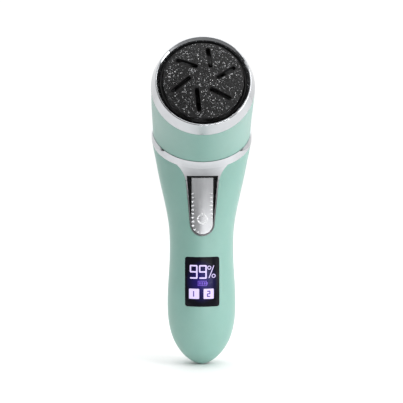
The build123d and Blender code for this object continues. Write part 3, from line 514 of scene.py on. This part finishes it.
# ------------------------------------------------------------------ abrasive disc
@dataclass
class GritCoat:
    """Crystals of grit bonded over the domed disc, clear of its slots."""

    spacing: float = 0.42 * MM
    scatter: float = 0.45
    rim_scatter: float = 0.3
    crystal_low: float = 0.16 * MM
    crystal_high: float = 0.40 * MM
    crystal_squash: tuple[float, float, float] = (1.0, 0.8, 0.9)
    crystal_scale: float = 0.7
    corner_jitter: float = 0.25
    sink: float = 0.25
    upright: float = 1.5
    edge_margin: float = 0.15 * MM
    slot_margin: float = 0.32 * MM
    slot_step: float = 0.6 * MM
    rim_rows: tuple[float, ...] = (0.25, 0.55, 0.85)
    rim_start: float = 1.3
    rim_reach: float = 0.4
    ray_depth: float = 30 * MM
    glint_mm: float = 0.55
    seed: int = 11

    def crystal(self) -> tuple[list[Vector], list[tuple[int, ...]]]:
        """Model one crystal, a lopsided low icosphere.

        Returns:
            Its corners, about one unit across, and its faces.
        """
        clear_selection()
        bpy.ops.mesh.primitive_ico_sphere_add(subdivisions=1, radius=1.0)
        piece = bpy.context.object
        bpy.ops.object.mode_set(mode="EDIT")
        bpy.ops.mesh.select_all(action="SELECT")
        bpy.ops.transform.resize(value=self.crystal_squash)
        bpy.ops.object.mode_set(mode="OBJECT")
        corners = [vertex.co.copy() for vertex in piece.data.vertices]
        faces = [tuple(face.vertices) for face in piece.data.polygons]
        bpy.data.objects.remove(piece)
        return corners, faces

    def build(self) -> None:
        """Grow the crystals over the dome and round the rim, as one piece on the disc."""
        draw = random.Random(self.seed)
        tree = surface_tree("abrasive_disc")
        low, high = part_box("abrasive_disc")
        radius = (high[0] - low[0]) / 2
        corners, faces = self.crystal()
        places = self.dome_places(draw, tree, radius) + self.rim_places(draw, tree, radius)
        vertices: list[Vector] = []
        polygons: list[tuple[int, ...]] = []
        for place, normal in places:
            size = draw.uniform(self.crystal_low, self.crystal_high)
            turn = Matrix.Rotation(draw.uniform(0, math.tau), 3, Vector((
                draw.uniform(-1, 1), draw.uniform(-1, 1), draw.uniform(-1, 1) + self.upright,
            )).normalized())
            base = len(vertices)
            for corner in corners:
                jitter = Vector([
                    draw.uniform(-self.corner_jitter, self.corner_jitter) for _ in range(3)
                ])
                grown = turn @ (corner + jitter) * size * self.crystal_scale
                vertices.append(place - normal * size * self.sink + grown)
            polygons.extend(tuple(base + index for index in face) for face in faces)
        mesh = bpy.data.meshes.new("grit_crystals")
        mesh.from_pydata(vertices, [], polygons)
        mesh.update()
        piece = bpy.data.objects.new("grit_crystals", mesh)
        bpy.context.scene.collection.objects.link(piece)
        PAINTS.dress(piece, self.crystal_material())
        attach(piece, "disc")
        log.info("grit_crystals: %d crystals", len(places))

    def dome_places(
        self, draw: random.Random, tree: BVHTree, radius: float
    ) -> list[tuple[Vector, Vector]]:
        """Scatter places over the dome, clear of its slots.

        Args:
            draw: The seeded source of random numbers.
            tree: The disc's surface.
            radius: The disc's radius.

        Returns:
            Each place with the surface's normal there.
        """
        places = []
        steps = int(radius / self.spacing) + 1
        for row in range(-steps, steps + 1):
            for column in range(-steps, steps + 1):
                across = (column + draw.uniform(-self.scatter, self.scatter)) * self.spacing
                up = (row + draw.uniform(-self.scatter, self.scatter)) * self.spacing
                if math.hypot(across, up) > radius - self.edge_margin:
                    continue
                if not self.is_solid(tree, across, up):
                    continue
                start = DISC.point(across, up, self.ray_depth)
                place, normal, _, _ = tree.ray_cast(start, -DISC.axis)
                places.append((place, normal))
        return places

    def rim_places(
        self, draw: random.Random, tree: BVHTree, radius: float
    ) -> list[tuple[Vector, Vector]]:
        """Scatter places in rows round the disc's rim.

        Args:
            draw: The seeded source of random numbers.
            tree: The disc's surface.
            radius: The disc's radius.

        Returns:
            Each place with the surface's normal there.
        """
        places = []
        rim_back, rim_front = self.rim(radius)
        count = max(1, int(math.tau * radius / self.spacing))
        for step in range(count):
            turn = math.tau * (step + draw.uniform(-self.rim_scatter, self.rim_scatter)) / count
            outward = DISC.across * math.cos(turn) + DISC.up * math.sin(turn)
            for share in self.rim_rows:
                level = rim_back + (rim_front - rim_back) * share
                start = DISC.point(0, 0, level) + outward * radius * self.rim_start
                place, normal, _, _ = tree.ray_cast(start, -outward)
                if place is not None and (place - start).length < radius * self.rim_reach:
                    places.append((place, normal))
        return places

    def rim(self, radius: float) -> tuple[float, float]:
        """Return how far out the back and the front of the disc's rim lie.

        Args:
            radius: The disc's radius.

        Returns:
            The distances along the disc's axis.
        """
        levels = []
        for vertex in frame["nodes"]["abrasive_disc"].data.vertices:
            offset = vertex.co - DISC.centre
            level = offset.dot(DISC.axis)
            if (offset - DISC.axis * level).length > 0.99 * radius:
                levels.append(level)
        return min(levels), max(levels)

    def is_solid(self, tree: BVHTree, across: float, up: float) -> bool:
        """Say whether the disc is unbroken around this place.

        Args:
            tree: The disc's surface.
            across: Distance across the disc from its centre.
            up: Distance up the disc from its centre.

        Returns:
            True if no slot is near.
        """
        heights = []
        for turn in range(4):
            angle = math.tau * turn / 4
            start = DISC.point(
                across + self.slot_margin * math.cos(angle),
                up + self.slot_margin * math.sin(angle),
                self.ray_depth,
            )
            place, _, _, _ = tree.ray_cast(start, -DISC.axis)
            if place is None:
                return False
            heights.append((place - start).length)
        return max(heights) - min(heights) < self.slot_step

    def crystal_material(self) -> bpy.types.Material:
        """Return the crystals' material: mostly black, with scattered crystals painted near white as glints."""
        material = bpy.data.materials.new("silicon_carbide_crystals")
        material.use_nodes = True
        tree = material.node_tree
        shader = tree.nodes["Principled BSDF"]
        shader.inputs["IOR"].default_value = 1.5
        place = add_node(tree, "ShaderNodeTexCoord")
        cells = add_node(
            tree,
            "ShaderNodeTexVoronoi",
            {"Scale": 1 / (self.glint_mm * MM)},
            {"Vector": place.outputs["Object"]},
        )
        spread = add_node(tree, "ShaderNodeSeparateColor", links={"Color": cells.outputs["Color"]})
        # The crystals' own tone varies at random; the palest stops, near white, are painted glints.
        stops = [
            (0.0, linear("030303")), (0.50, linear("0F0F10")), (0.74, linear("2A2B2C")),
            (0.88, linear("6C6E71")), (0.97, linear("F4F5F7")),
        ]
        tone = add_node(
            tree, "ShaderNodeValToRGB", {"stops": stops}, {"Fac": spread.outputs["Red"]}
        )
        tree.links.new(tone.outputs["Color"], shader.inputs["Base Color"])
        gloss = add_node(
            tree,
            "ShaderNodeMapRange",
            {"To Min": 0.25, "To Max": 0.95},
            {"Value": spread.outputs["Green"]},
        )
        tree.links.new(gloss.outputs["Result"], shader.inputs["Roughness"])
        return material


# ------------------------------------------------------------------ display figures
@dataclass
class DisplayFigures:
    """Lit figures that show through the display window: charge, battery sign and two speeds."""

    stand_off: float = 4 * MM
    digit_width: float = 3.9 * MM
    digit_height: float = 6.9 * MM
    stroke: float = 0.72 * MM
    digit_row: float = 5.05 * MM
    digit_columns: tuple[float, float] = (-4.3 * MM, 0.3 * MM)
    percent_column: float = 4.6 * MM
    percent_stroke: float = 0.38 * MM
    percent_height: float = 0.98
    percent_corner: float = 0.1 * MM
    percent_tilt: float = 22.0
    percent_ring: float = 1.0 * MM
    percent_ring_across: float = 1.1 * MM
    percent_ring_up: float = 2.1 * MM
    battery_row: float = -0.7 * MM
    battery_width: float = 4.2 * MM
    battery_height: float = 2.2 * MM
    battery_line: float = 0.35 * MM
    battery_nub_offset: float = 0.4 * MM
    battery_nub_width: float = 0.5 * MM
    battery_nub_height: float = 0.5
    cell_count: int = 3
    cell_pitch: float = 1.2 * MM
    cell_width: float = 0.8 * MM
    cell_height: float = 0.55
    key_row: float = -6.0 * MM
    key_columns: tuple[float, float] = (-4.1 * MM, 3.2 * MM)
    key_size: float = 5.1 * MM
    key_corner: float = 0.25 * MM
    key_digit_width: float = 1.7 * MM
    key_digit_height: float = 3.1 * MM
    key_stroke: float = 0.5 * MM
    lift: float = 0.03 * MM
    layer_step: float = 0.08 * MM
    thickness: float = 0.02 * MM
    glow_half_width: float = 9.5 * MM
    glow_half_height: float = 13.0 * MM

    SEGMENTS = {
        "1": "bc",
        "2": "abged",
        "9": "abcdfg",
    }

    def __post_init__(self) -> None:
        """Find the middle of the window and how far forward it stands."""
        low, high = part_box("display_window")
        self.middle_x = (low[0] + high[0]) / 2
        self.middle_z = (low[2] + high[2]) / 2
        self.front = low[1] - self.stand_off

    def bar(
        self, across: float, up: float, width: float, height: float, cut: float
    ) -> bpy.types.Object:
        """Add one flat bar with its corners cut, facing the front.

        Args:
            across: Its middle, from the window's middle.
            up: Its middle, from the window's middle.
            width: Its width.
            height: Its height.
            cut: How much of each corner is cut off.

        Returns:
            The bar.
        """
        clear_selection()
        bpy.ops.mesh.primitive_plane_add(
            size=1.0,
            location=(self.middle_x + across, self.front, self.middle_z + up),
            rotation=(math.pi / 2, 0, 0),
        )
        piece = bpy.context.object
        piece.scale = (width, height, 1)
        settle(piece)
        if cut > 0:
            bpy.ops.object.mode_set(mode="EDIT")
            bpy.ops.mesh.select_all(action="SELECT")
            bpy.ops.mesh.bevel(offset=cut, affect="VERTICES", segments=1)
            bpy.ops.object.mode_set(mode="OBJECT")
        return piece

    def ring(self, across: float, up: float, radius: float, stroke: float) -> bpy.types.Object:
        """Add one flat ring facing the front.

        Args:
            across: Its middle, from the window's middle.
            up: Its middle, from the window's middle.
            radius: Its outer radius.
            stroke: The width of its line.

        Returns:
            The ring.
        """
        clear_selection()
        bpy.ops.mesh.primitive_circle_add(
            vertices=32,
            radius=radius,
            fill_type="NGON",
            location=(self.middle_x + across, self.front, self.middle_z + up),
            rotation=(math.pi / 2, 0, 0),
        )
        piece = bpy.context.object
        settle(piece)
        bpy.ops.object.mode_set(mode="EDIT")
        bpy.ops.mesh.select_all(action="SELECT")
        bpy.ops.mesh.inset(thickness=stroke)
        bpy.ops.mesh.delete(type="FACE")
        bpy.ops.object.mode_set(mode="OBJECT")
        return piece

    def digit(
        self, figure: str, across: float, up: float, width: float, height: float, stroke: float
    ) -> list[bpy.types.Object]:
        """Add a seven segment figure.

        Args:
            figure: The figure to show.
            across: Its middle, from the window's middle.
            up: Its middle, from the window's middle.
            width: Its width.
            height: Its height.
            stroke: The width of a segment.

        Returns:
            Its segments.
        """
        side = (width - stroke) / 2
        quarter = (height - stroke) / 4
        level = {"a": 2, "g": 0, "d": -2}
        upright = {"f": (-1, 1), "b": (1, 1), "e": (-1, -1), "c": (1, -1)}
        bars = []
        for segment in self.SEGMENTS[figure]:
            if segment in level:
                place = (across, up + level[segment] * quarter)
                size = (width - stroke * 0.35, stroke)
            else:
                turn = upright[segment]
                place = (across + turn[0] * side, up + turn[1] * quarter)
                size = (stroke, 2 * quarter + stroke * 0.55)
            bars.append(self.bar(place[0], place[1], size[0], size[1], stroke * 0.3))
        return bars

    def lay(
        self,
        pieces: list[bpy.types.Object],
        name: str,
        look: Look,
        layer: int,
        node: str = "display_window",
        body: str = "body",
    ) -> None:
        """Join flat shapes, press them on a node's curved face and dress them.

        Args:
            pieces: Flat shapes in front of the node.
            name: Name of the joined piece.
            look: Its finish.
            layer: Its place in the stack of layers, from one.
            node: The CAD node that it lies on.
            body: The body that it rides on.
        """
        piece = join(pieces, name)
        bpy.ops.object.mode_set(mode="EDIT")
        bpy.ops.mesh.select_all(action="SELECT")
        bpy.ops.mesh.quads_convert_to_tris()
        bpy.ops.mesh.subdivide(number_cuts=3)
        bpy.ops.object.mode_set(mode="OBJECT")
        tree = surface_tree(node)
        for vertex in piece.data.vertices:
            place, _, _, _ = tree.ray_cast(vertex.co, Vector((0, 1, 0)))
            if place is not None:
                vertex.co.y = place.y - self.lift - (layer - 1) * self.layer_step
        apply_modifier(piece, "SOLIDIFY", "glass_print", thickness=self.thickness, offset=1.0)
        PAINTS.dress(piece, PAINTS.get(look))
        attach(piece, body)
        log.info("%s: %d faces", name, len(piece.data.polygons))

    def build(self) -> None:
        """Build every lit figure and light the lens."""
        PAINTS.dress(frame["nodes"]["display_window"], self.glow())
        self.charge()
        self.percent()
        self.battery()
        self.speeds()

    def charge(self) -> None:
        """Build the two figures of the charge."""
        charge = []
        for column in self.digit_columns:
            charge += self.digit(
                "9", column, self.digit_row, self.digit_width, self.digit_height, self.stroke
            )
        self.lay(charge, "charge_figures", Look.LIT_WHITE, 1)

    def percent(self) -> None:
        """Build the percent sign: a leaning bar and two small rings."""
        column = self.percent_column
        row = self.digit_row
        stroke = self.percent_stroke
        height = self.digit_height * self.percent_height
        slash = self.bar(column, row, stroke, height, self.percent_corner)
        activate(slash)
        slash.data.transform(
            Matrix.Translation((self.middle_x + column, 0, self.middle_z + row))
            @ Matrix.Rotation(math.radians(self.percent_tilt), 4, "Y")
            @ Matrix.Translation((-self.middle_x - column, 0, -self.middle_z - row))
        )
        across = self.percent_ring_across
        up = self.percent_ring_up
        percent = [
            slash,
            self.ring(column - across, row + up, self.percent_ring, stroke),
            self.ring(column + across, row - up, self.percent_ring, stroke),
        ]
        self.lay(percent, "percent_figure", Look.LIT_WHITE, 1)

    def battery(self) -> None:
        """Build the battery sign: an outline, its terminal and its cells."""
        row = self.battery_row
        line = self.battery_line
        half_width = self.battery_width / 2
        half_height = self.battery_height / 2
        nub_height = self.battery_height * self.battery_nub_height
        battery = [
            self.bar(0, row + half_height, self.battery_width, line, 0),
            self.bar(0, row - half_height, self.battery_width, line, 0),
            self.bar(-half_width, row, line, self.battery_height + line, 0),
            self.bar(half_width, row, line, self.battery_height + line, 0),
            self.bar(
                half_width + self.battery_nub_offset, row, self.battery_nub_width, nub_height, 0
            ),
        ]
        cell_height = self.battery_height * self.cell_height
        for cell in range(self.cell_count):
            column = (cell - (self.cell_count - 1) / 2) * self.cell_pitch
            battery.append(self.bar(column, row, self.cell_width, cell_height, 0))
        self.lay(battery, "battery_figure", Look.LIT_VIOLET, 1)

    def speeds(self) -> None:
        """Build the two lit keys and the figure on each."""
        keys = [
            self.bar(column, self.key_row, self.key_size, self.key_size, self.key_corner)
            for column in self.key_columns
        ]
        self.lay(keys, "speed_keys", Look.LIT_WHITE, 1)
        names = []
        for figure, column in zip("12", self.key_columns):
            shift = -self.key_digit_width / 2 if figure == "1" else 0
            names += self.digit(
                figure, column + shift, self.key_row, self.key_digit_width, self.key_digit_height,
                self.key_stroke,
            )
        self.lay(names, "speed_figures", Look.DARK_VIOLET, 2)

    def glow(self) -> bpy.types.Material:
        """Return the lens's material, with the back light's glow behind the figures.

        Returns:
            Smoked acrylic that gives off a faint blue violet light, strongest in the middle.
        """
        material = Look.SMOKED_ACRYLIC.value.make()
        tree = material.node_tree
        shader = tree.nodes["Principled BSDF"]
        place = add_node(tree, "ShaderNodeTexCoord")
        low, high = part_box("display_window")
        middle = (low + high) / 2
        centred = add_node(
            tree,
            "ShaderNodeVectorMath",
            {"operation": "SUBTRACT"},
            {"Vector": place.outputs["Object"]},
        )
        centred.inputs[1].default_value = (middle.x, 0.0, middle.z)
        scaled = add_node(
            tree,
            "ShaderNodeVectorMath",
            {"operation": "MULTIPLY"},
            {"Vector": centred.outputs["Vector"]},
        )
        scaled.inputs[1].default_value = (1 / self.glow_half_width, 0.0, 1 / self.glow_half_height)
        reach = add_node(
            tree,
            "ShaderNodeVectorMath",
            {"operation": "LENGTH"},
            {"Vector": scaled.outputs["Vector"]},
        )
        stops = [(0.0, linear("2A1C78")), (0.55, linear("17104A")), (0.85, linear("04040C"))]
        light = add_node(
            tree, "ShaderNodeValToRGB", {"stops": stops}, {"Fac": reach.outputs["Value"]}
        )
        tree.links.new(light.outputs["Color"], shader.inputs["Emission Color"])
        shader.inputs["Emission Strength"].default_value = 1.0
        return material


# ------------------------------------------------------------------ button
@dataclass
class ButtonDetails:
    """A black sheet on the floor of the button's tray, painted shade in the gap beside the button, and a pale fill
    in the engraved power sign, a painted highlight on its edges.
    """

    shade_sheet_step: float = 0.3 * MM
    shade_sheet_thickness: float = 0.12 * MM
    shade_sheet_width: float = 1.7
    shade_sheet_extra_height: float = 3 * MM
    shade_sheet_lift: float = 0.04 * MM
    end_margin: float = 3 * MM
    tray_drop: float = 2.0 * MM
    tray_drop_limit: float = 6 * MM
    ray_start: float = -0.06
    sign_rise: float = 76.0 * MM
    sign_radius: float = 2.62 * MM
    sign_line: float = 0.5 * MM
    sign_gap_half: float = 0.9 * MM
    sign_gap_level: float = 0.55
    sign_bar: float = 2.2 * MM
    sign_bar_level: float = 0.75

    def tray_shade_sheet(self) -> None:
        """Line the floor of the tray beside and under the button with a thin black sheet: painted shade in the
        gap.
        """
        trim = surface_tree("neck_trim")
        button = surface_tree("power_button")
        low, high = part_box("power_button")
        width = self.shade_sheet_width * (high.x - low.x)
        height = (high.z - low.z) + self.shade_sheet_extra_height
        clear_selection()
        bpy.ops.mesh.primitive_grid_add(
            x_subdivisions=int(width / self.shade_sheet_step),
            y_subdivisions=int(height / self.shade_sheet_step),
            size=1.0,
            location=(0, self.ray_start, (low.z + high.z) / 2),
            rotation=(math.pi / 2, 0, 0),
        )
        piece = bpy.context.object
        piece.name = "tray_painted_shade_sheet"
        piece.scale = (width, height, 1)
        settle(piece)
        back = Vector((0, 1, 0))
        outside = []
        for vertex in piece.data.vertices:
            level = min(max(vertex.co.z, low.z + self.end_margin), high.z - self.end_margin)
            face, _, _, _ = button.ray_cast(Vector((0, self.ray_start, level)), back)
            place, _, _, _ = trim.ray_cast(vertex.co, back)
            near = face.y + self.tray_drop
            far = face.y + self.tray_drop_limit
            if place is None or place.y < near or place.y > far:
                outside.append(vertex.index)
            else:
                vertex.co.y = place.y - self.shade_sheet_lift
        activate(piece)
        bpy.ops.object.mode_set(mode="EDIT")
        bpy.ops.mesh.select_all(action="DESELECT")
        bpy.ops.object.mode_set(mode="OBJECT")
        for index in outside:
            piece.data.vertices[index].select = True
        bpy.ops.object.mode_set(mode="EDIT")
        bpy.ops.mesh.delete(type="VERT")
        bpy.ops.object.mode_set(mode="OBJECT")
        apply_modifier(piece, "SOLIDIFY", "shade_sheet_solidify", thickness=self.shade_sheet_thickness, offset=1.0)
        # The black rubber finish here is painted shade in the gap beside the button.
        PAINTS.dress(piece, PAINTS.get(Look.RUBBER))
        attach(piece, "body")
        log.info("tray_painted_shade_sheet: %d faces", len(piece.data.polygons))

    def sign(self) -> None:
        """Fill the engraved power sign with a painted highlight: an open ring with an upright bar."""
        figures = DisplayFigures()
        figures.middle_x = 0.0
        figures.middle_z = self.sign_rise
        ring = figures.ring(0, 0, self.sign_radius, self.sign_line)
        activate(ring)
        edge = self.sign_rise + self.sign_radius * self.sign_gap_level
        for vertex in ring.data.vertices:
            vertex.select = abs(vertex.co.x) < self.sign_gap_half and vertex.co.z > edge
        bpy.ops.object.mode_set(mode="EDIT")
        bpy.ops.mesh.delete(type="VERT")
        bpy.ops.object.mode_set(mode="OBJECT")
        bar_level = self.sign_radius * self.sign_bar_level
        bar = figures.bar(0, bar_level, self.sign_line, self.sign_bar, 0)
        # The pale fill stands for the light on the engraved edges: a painted highlight.
        figures.lay(
            [ring, bar], "power_sign", Look.PAINTED_SIGN_HIGHLIGHT, 1, "power_button", "button"
        )

    def build(self) -> None:
        """Build the sheet of painted shade in the tray and the painted highlight in the sign."""
        self.tray_shade_sheet()
        self.sign()


@dataclass
class LeafSpring:
    """The button's leaf spring, which flattens as the button is pressed."""

    keep: float = 0.36
    merge_distance: float = 0.001 * MM

    def build(self) -> None:
        """Build the spring as one closed mesh on the body."""
        clear_selection()
        source = frame["nodes"]["button_spring"]
        piece = bpy.data.objects.new("leaf_spring", source.data.copy())
        bpy.context.scene.collection.objects.link(piece)
        activate(piece)
        bpy.ops.object.mode_set(mode="EDIT")
        bpy.ops.mesh.select_all(action="SELECT")
        bpy.ops.mesh.remove_doubles(threshold=self.merge_distance)
        bpy.ops.object.mode_set(mode="OBJECT")
        bpy.ops.object.shade_flat()
        PAINTS.dress(piece, PAINTS.get(Look.STEEL))
        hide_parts("button_spring")
        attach(piece, "body")
        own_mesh(piece)
        log.info("leaf_spring: %d faces", len(piece.data.polygons))


# ------------------------------------------------------------------ stage
@dataclass
class Studio:
    """Plain pale floor, soft lights and the camera."""

    camera_distance: float = 0.9
    camera_height_angle: float = 6.5
    camera_side_angle: float = -1.5
    aim_height: float = 83.0 * MM
    view_width: float = 204.0 * MM
    sensor: float = 36.0
    floor_size: float = 1.2
    fade_start: float = 0.10
    fade_end: float = 0.20
    floor_gap: float = 0.1 * MM
    floor_dark: float = 0.20
    floor_pale: float = 0.95
    room_strength: float = 1.03
    light_aim: float = 90.0 * MM

    def floor(self) -> None:
        """Lay the floor just under the object."""
        clear_selection()
        level = CAD_BOX[0][2] - self.floor_gap
        bpy.ops.mesh.primitive_plane_add(size=self.floor_size, location=(0, 0, level))
        floor = bpy.context.object
        floor.name = "floor"
        settle(floor)
        material = bpy.data.materials.new("pale_floor")
        material.use_nodes = True
        tree = material.node_tree
        shader = tree.nodes["Principled BSDF"]
        shader.inputs["Roughness"].default_value = 0.55
        place = add_node(tree, "ShaderNodeTexCoord")
        split = add_node(tree, "ShaderNodeSeparateXYZ", links={"Vector": place.outputs["Object"]})
        front = add_node(
            tree,
            "ShaderNodeMapRange",
            {"From Min": -self.fade_end, "From Max": -self.fade_start},
            {"Value": split.outputs["Y"]},
        )
        tone = add_node(
            tree,
            "ShaderNodeValToRGB",
            {"stops": [(0.0, grey(self.floor_dark)), (1.0, grey(self.floor_pale))]},
            {"Fac": front.outputs["Result"]},
        )
        tree.links.new(tone.outputs["Color"], shader.inputs["Base Color"])
        floor.data.materials.append(material)

    def light(
        self, name: str, place: tuple[float, float, float], size: tuple[float, float], watts: float
    ) -> None:
        """Hang a soft box that faces the object.

        Args:
            name: The light's name.
            place: Where it hangs, in metres.
            size: Its width and height in metres.
            watts: Its power.
        """
        data = bpy.data.lights.new(name, "AREA")
        data.shape = "RECTANGLE"
        data.size = size[0]
        data.size_y = size[1]
        data.energy = watts
        lamp = bpy.data.objects.new(name, data)
        bpy.context.scene.collection.objects.link(lamp)
        lamp.location = place
        facing = Vector((0, 0, self.light_aim)) - Vector(place)
        lamp.rotation_euler = facing.to_track_quat("-Z", "Y").to_euler()

    def surroundings(self) -> None:
        """Make a room for the chrome to show: white behind, dark beside and grey in front."""
        world = bpy.data.worlds.new("studio_room")
        bpy.context.scene.world = world
        world.use_nodes = True
        tree = world.node_tree
        place = add_node(tree, "ShaderNodeTexCoord")
        split = add_node(
            tree, "ShaderNodeSeparateXYZ", links={"Vector": place.outputs["Generated"]}
        )
        depth = add_node(
            tree,
            "ShaderNodeMapRange",
            {"From Min": -1.0, "From Max": 1.0},
            {"Value": split.outputs["Y"]},
        )
        wall_stops = [
            (0.0, grey(0.10)), (0.26, grey(0.14)), (0.33, grey(0.02)),
            (0.52, grey(0.03)), (0.60, grey(1.0)),
        ]
        wall = add_node(
            tree, "ShaderNodeValToRGB", {"stops": wall_stops}, {"Fac": depth.outputs["Result"]}
        )
        ceiling_stops = [(0.35, grey(0.0)), (0.75, grey(1.0))]
        ceiling = add_node(
            tree, "ShaderNodeValToRGB", {"stops": ceiling_stops}, {"Fac": split.outputs["Z"]}
        )
        tone = add_node(tree, "ShaderNodeVectorMath", {"operation": "MAXIMUM"})
        tree.links.new(wall.outputs["Color"], tone.inputs[0])
        tree.links.new(ceiling.outputs["Color"], tone.inputs[1])
        background = tree.nodes["Background"]
        tree.links.new(tone.outputs["Vector"], background.inputs["Color"])
        background.inputs["Strength"].default_value = self.room_strength

    def camera(self) -> None:
        """Set the camera at the object's usual viewing angle."""
        data = bpy.data.cameras.new("camera")
        data.sensor_width = self.sensor
        data.lens = self.sensor * self.camera_distance / self.view_width
        camera = bpy.data.objects.new("camera", data)
        bpy.context.scene.collection.objects.link(camera)
        rise = math.radians(self.camera_height_angle)
        side = math.radians(self.camera_side_angle)
        aim = Vector((0, 0, self.aim_height))
        back = Vector((
            math.sin(side) * math.cos(rise), -math.cos(side) * math.cos(rise), math.sin(rise),
        ))
        camera.location = aim + back * self.camera_distance
        camera.rotation_euler = (-back).to_track_quat("-Z", "Y").to_euler()
        bpy.context.scene.camera = camera

    def build(self) -> None:
        """Set up the whole stage."""
        self.floor()
        self.surroundings()
        self.light("key_right", (0.85, -0.50, 0.45), (0.5, 1.1), 8.0)
        self.light("edge_left", (-0.95, -0.25, 0.30), (0.25, 1.1), 0.6)
        self.light("low_front", (0.20, -0.70, 0.03), (0.5, 0.05), 1.5)
        self.light("top", (0.0, 0.05, 1.2), (1.4, 1.0), 5.5)
        bpy.context.scene.view_settings.view_transform = "Standard"
        self.camera()
        log.info("stage: floor, four soft boxes and the camera")


@dataclass
class Casing:
    """The CAD nodes, dressed by their material slots."""

    def build(self) -> None:
        """Dress every CAD node."""
        for row in frame["record"]["subparts"]:
            node = frame["nodes"][row["node"]]
            look = NODE_LOOKS.get(row["node"], SLOT_LOOKS[row["material_slot"]])
            PAINTS.dress(node, PAINTS.get(look))
            log.info("%s: %s", row["node"], look.name.lower())


def main() -> None:
    """Build every sub-assembly in order."""
    logging.basicConfig(level=logging.INFO, format="%(name)s %(message)s")
    Casing().build()
    GritCoat().build()
    DisplayFigures().build()
    ButtonDetails().build()
    LeafSpring().build()
    Studio().build()


if __name__ == "__main__":
    main()
